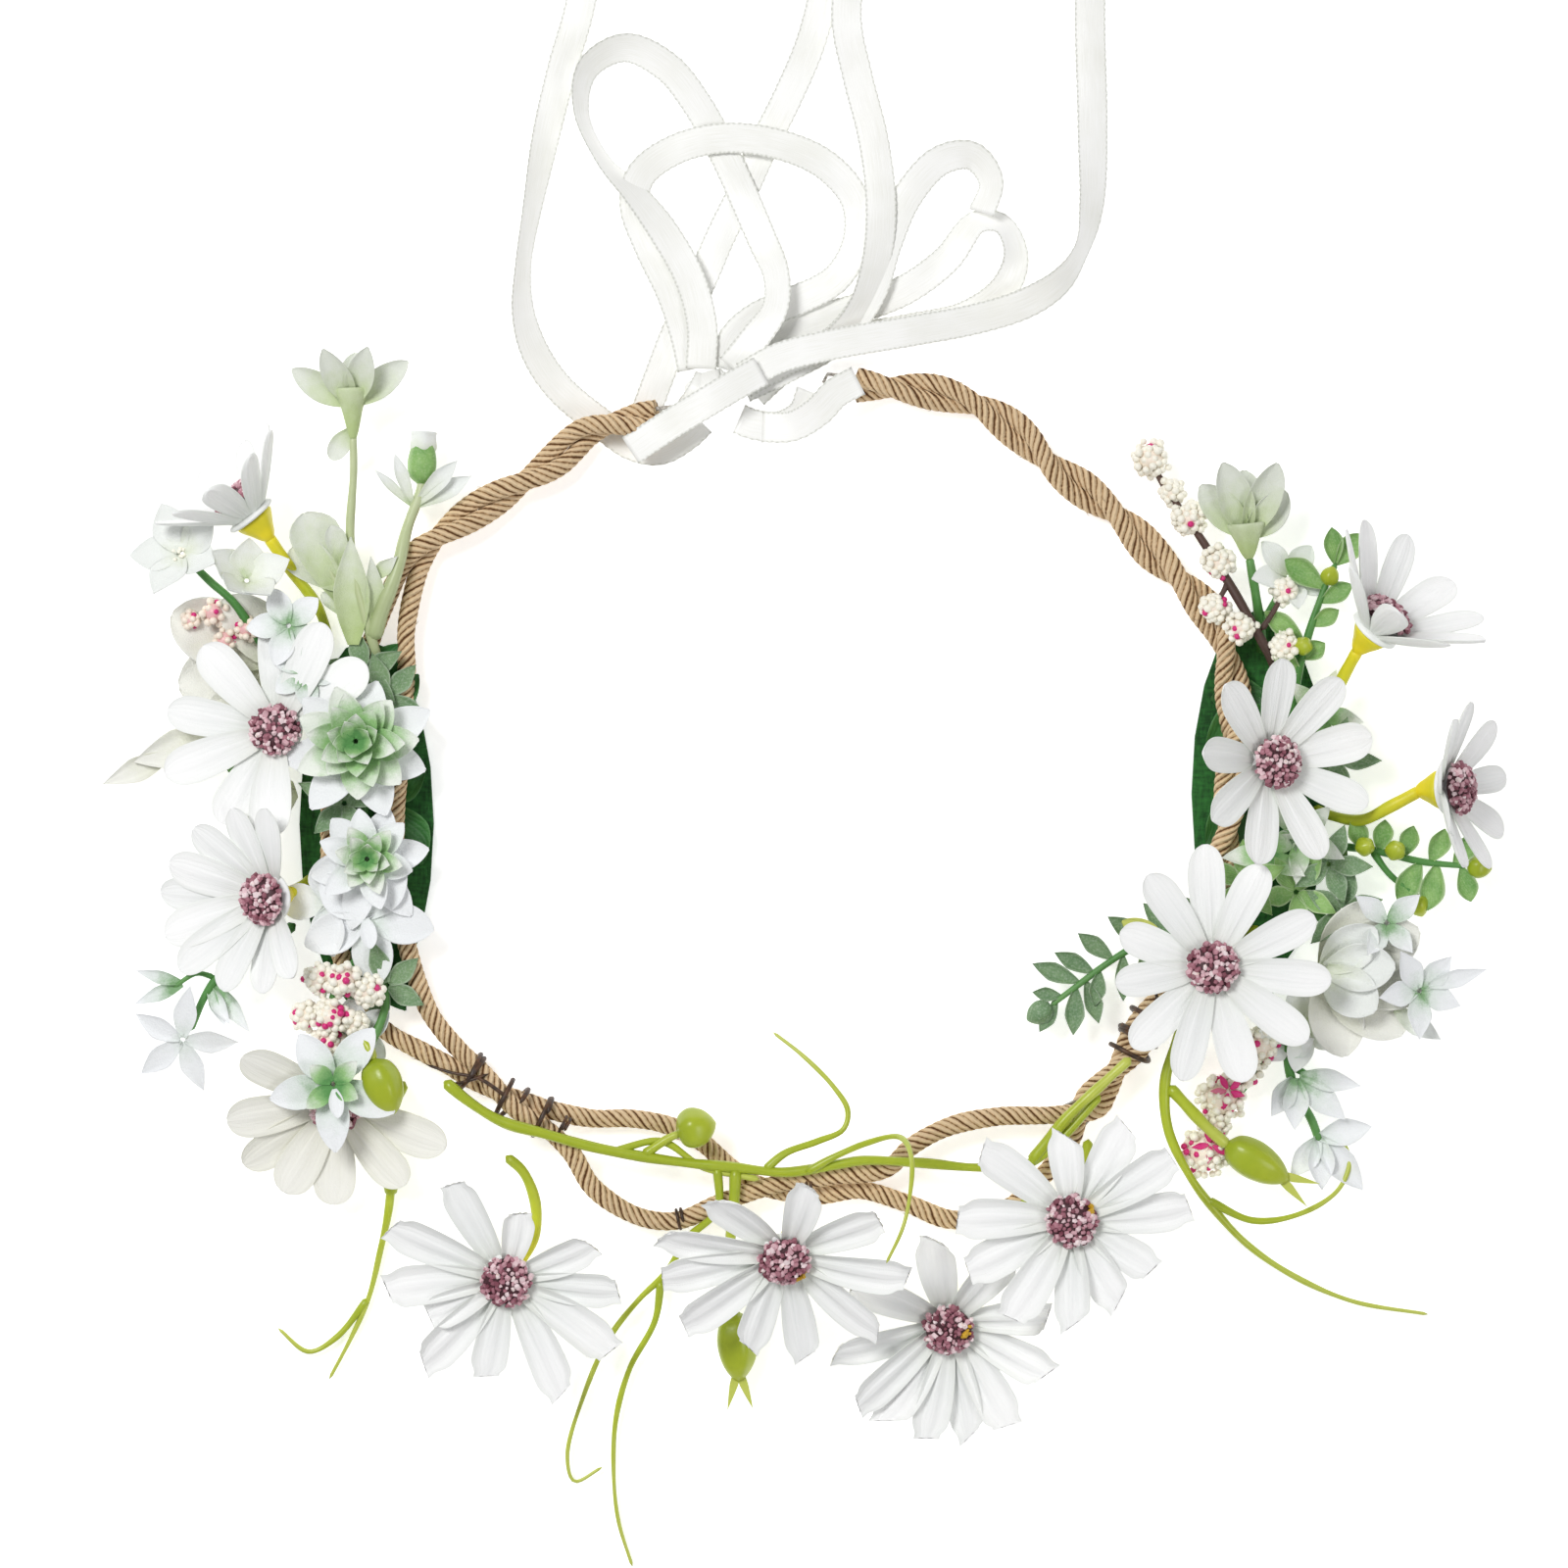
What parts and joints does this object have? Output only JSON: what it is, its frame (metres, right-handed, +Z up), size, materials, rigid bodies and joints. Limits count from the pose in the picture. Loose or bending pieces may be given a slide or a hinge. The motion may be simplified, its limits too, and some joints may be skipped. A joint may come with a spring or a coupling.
{
  "type": "flower crown",
  "caption": "Wired twine head crown with daisies, succulents, berries, leaf sprays and a green vine, closed at the back by a white satin ribbon bow with long tails.",
  "frame": {"origin": "on the table, under the middle of the crown without its ribbon stretches", "axes": "+Z up from the table, +Y from the front daisies to the ribbon at the back, +X to the right with the flowers facing up"},
  "size_m": [0.3, 0.4046, 0.0375],
  "materials": {
    "twine": "matt paper twine",
    "steel_wire": "drawn wire",
    "floral_wire": "dark brown lacquer",
    "felt": "matt felt",
    "petal_fabric": "matt white cloth",
    "crumb_button": "mauve crumbs",
    "calyx": "yellow green",
    "vine_plastic": "lime green",
    "leaf_plastic": "green",
    "flocked_plastic": "pale green, flocked",
    "blossom_fabric": "pale, translucent",
    "berry_beads": "ivory",
    "satin": "satin"
  },
  "bodies": {
    "crown": {"twine_strand_inner": "twine", "twine_strand_outer": "twine", "wire_core": "steel_wire", "felt_pad_left": "felt", "felt_pad_right": "felt", "wire_tie_left": "floral_wire", "wire_tie_right": "floral_wire", "daisy_front_low_stem": "calyx", "daisy_left_upper_petals": "petal_fabric", "daisy_left_upper_stem": "calyx", "daisy_left_middle_petals": "petal_fabric", "daisy_left_middle_stem": "calyx", "daisy_left_top_petals": "petal_fabric", "daisy_left_top_stem": "calyx", "daisy_left_low_petals": "petal_fabric", "daisy_left_low_stem": "calyx", "daisy_right_upper_stem": "calyx", "daisy_right_lower_stem": "calyx", "daisy_right_outer_petals": "petal_fabric", "daisy_right_outer_stem": "calyx", "daisy_right_top_petals": "petal_fabric", "daisy_right_top_stem": "calyx", "front_vine": "vine_plastic", "left_tendril": "vine_plastic", "right_tendril": "vine_plastic", "flocked_spray": "flocked_plastic", "trumpet_spray": "flocked_plastic", "berry_spray_left": "berry_beads", "blossom_sprig_left": "blossom_fabric", "boxwood_spray": "leaf_plastic", "eucalyptus_sprig": "leaf_plastic", "hydrangea_flower": "blossom_fabric", "bell_flower": "blossom_fabric", "bead_spray": "berry_beads", "berry_spray_right": "berry_beads", "ribbon_knot": "satin", "ribbon_tail_left": "satin", "ribbon_tail_second": "satin", "ribbon_tail_third": "satin", "ribbon_tail_right": "satin", "ribbon_loop_upper": "satin", "ribbon_loop_arch": "satin", "ribbon_loop_right": "satin", "ribbon_loop_outer": "satin", "ribbon_link": "satin"},
    "head_front_left": {"daisy_front_left_petals": "petal_fabric", "daisy_front_left_centre": "crumb_button"},
    "stem_front_left": {"daisy_front_left_stem": "calyx"},
    "head_front_middle": {"daisy_front_middle_petals": "petal_fabric", "daisy_front_middle_centre": "crumb_button"},
    "stem_front_middle": {"daisy_front_middle_stem": "calyx"},
    "head_front_low": {"daisy_front_low_petals": "petal_fabric", "daisy_front_low_centre": "crumb_button"},
    "head_front_right": {"daisy_front_right_petals": "petal_fabric", "daisy_front_right_centre": "crumb_button"},
    "stem_front_right": {"daisy_front_right_stem": "calyx"},
    "head_right_upper": {"daisy_right_upper_petals": "petal_fabric", "daisy_right_upper_centre": "crumb_button"},
    "head_right_lower": {"daisy_right_lower_petals": "petal_fabric", "daisy_right_lower_centre": "crumb_button"}
  },
  "joints": [
    {"name": "lift_front_left", "type": "hinge", "parent": "crown", "child": "stem_front_left", "pos_m": [-0.06375, -0.04082, 0.0105], "axis": [-1, 0, 0], "range_deg": [0, 40]},
    {"name": "spin_front_left", "type": "hinge", "parent": "stem_front_left", "child": "head_front_left", "pos_m": [-0.06345, -0.06682, 0.014], "axis": [0.0498, -0.0796, 0.9956], "continuous": true},
    {"name": "lift_front_middle", "type": "hinge", "parent": "crown", "child": "stem_front_middle", "pos_m": [-0.00095, -0.04952, 0.0105], "axis": [-1, 0, 0], "range_deg": [0, 30]},
    {"name": "spin_front_middle", "type": "hinge", "parent": "stem_front_middle", "child": "head_front_middle", "pos_m": [-0.00395, -0.06032, 0.025], "axis": [0, -0.4254, 0.905], "continuous": true},
    {"name": "spin_front_low", "type": "hinge", "parent": "crown", "child": "head_front_low", "pos_m": [0.03105, -0.07672, 0.009], "axis": [0, -0.3387, 0.9409], "continuous": true},
    {"name": "lift_front_right", "type": "hinge", "parent": "crown", "child": "stem_front_right", "pos_m": [0.06105, -0.03732, 0.0105], "axis": [-1, 0, 0], "range_deg": [0, 30]},
    {"name": "spin_front_right", "type": "hinge", "parent": "stem_front_right", "child": "head_front_right", "pos_m": [0.05605, -0.05282, 0.028], "axis": [0.02, 0.03, 0.9994], "continuous": true},
    {"name": "spin_right_upper", "type": "hinge", "parent": "crown", "child": "head_right_upper", "pos_m": [0.09875, 0.04348, 0.018], "axis": [0.4472, 0, 0.8944], "continuous": true},
    {"name": "spin_right_lower", "type": "hinge", "parent": "crown", "child": "head_right_lower", "pos_m": [0.08655, -0.00002, 0.021], "axis": [0, 0.0499, 0.9988], "continuous": true}
  ]
}
